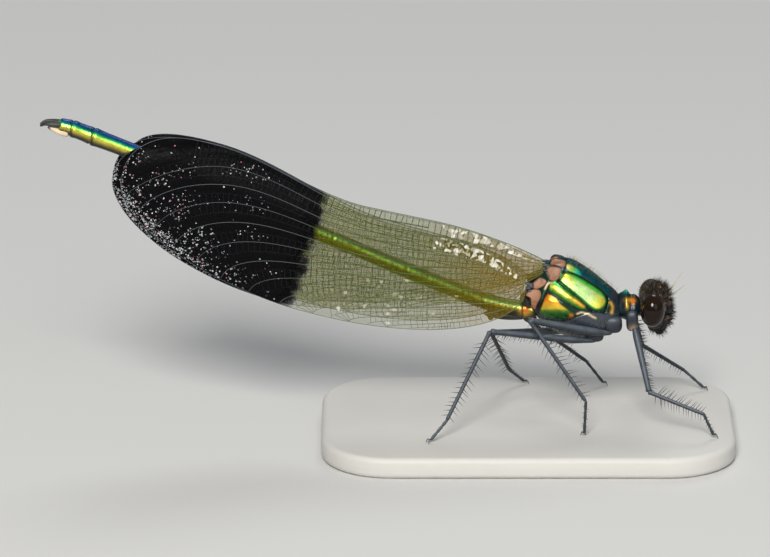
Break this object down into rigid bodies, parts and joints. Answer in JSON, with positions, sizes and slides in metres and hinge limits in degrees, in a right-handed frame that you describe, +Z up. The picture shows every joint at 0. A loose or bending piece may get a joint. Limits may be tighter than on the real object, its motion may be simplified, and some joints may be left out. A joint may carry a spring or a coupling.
{
  "type": "damselfly",
  "caption": "Life-size model of a male western demoiselle damselfly, wings closed over its back, standing on a thin plain plate.",
  "frame": {"origin": "middle of the bottom of the plate and body's box, on the surface that the plate stands on", "axes": "+X forward to the insect's head, +Y to its left, +Z up"},
  "size_m": [0.0503, 0.0186, 0.0244],
  "materials": {
    "thorax": "metallic green and blue-green horn with gold",
    "abdomen": "metallic green to blue horn",
    "head": "dark glossy horn with short hair",
    "eyes": "glossy dark brown",
    "wings": "clear olive membrane with black outer half",
    "legs": "slate grey horn with bristles",
    "claspers": "dark horn with cream patches",
    "base": "plain off-white, matte"
  },
  "bodies": {
    "root": {"head": "head", "neck": "head", "prothorax": "thorax", "thorax": "thorax", "abdomen_1": "abdomen", "abdomen_2": "abdomen", "abdomen_3": "abdomen", "abdomen_4": "abdomen", "abdomen_5": "abdomen", "abdomen_6": "abdomen", "abdomen_7": "abdomen", "abdomen_8": "abdomen", "abdomen_9": "abdomen", "abdomen_10": "abdomen", "eye_right": "eyes", "antenna_right": "head", "cercus_right": "claspers", "paraproct_right": "claspers", "wing_fore_right": "wings", "wing_hind_right": "wings", "eye_left": "eyes", "antenna_left": "head", "cercus_left": "claspers", "paraproct_left": "claspers", "wing_fore_left": "wings", "wing_hind_left": "wings", "leg_fore_right_femur": "legs", "leg_fore_right_tibia": "legs", "leg_fore_right_tarsus": "legs", "leg_fore_left_femur": "legs", "leg_fore_left_tibia": "legs", "leg_fore_left_tarsus": "legs", "leg_mid_right_femur": "legs", "leg_mid_right_tibia": "legs", "leg_mid_right_tarsus": "legs", "leg_mid_left_femur": "legs", "leg_mid_left_tibia": "legs", "leg_mid_left_tarsus": "legs", "leg_hind_right_femur": "legs", "leg_hind_right_tibia": "legs", "leg_hind_right_tarsus": "legs", "leg_hind_left_femur": "legs", "leg_hind_left_tibia": "legs", "leg_hind_left_tarsus": "legs", "stand_base": "base"}
  },
  "joints": []
}
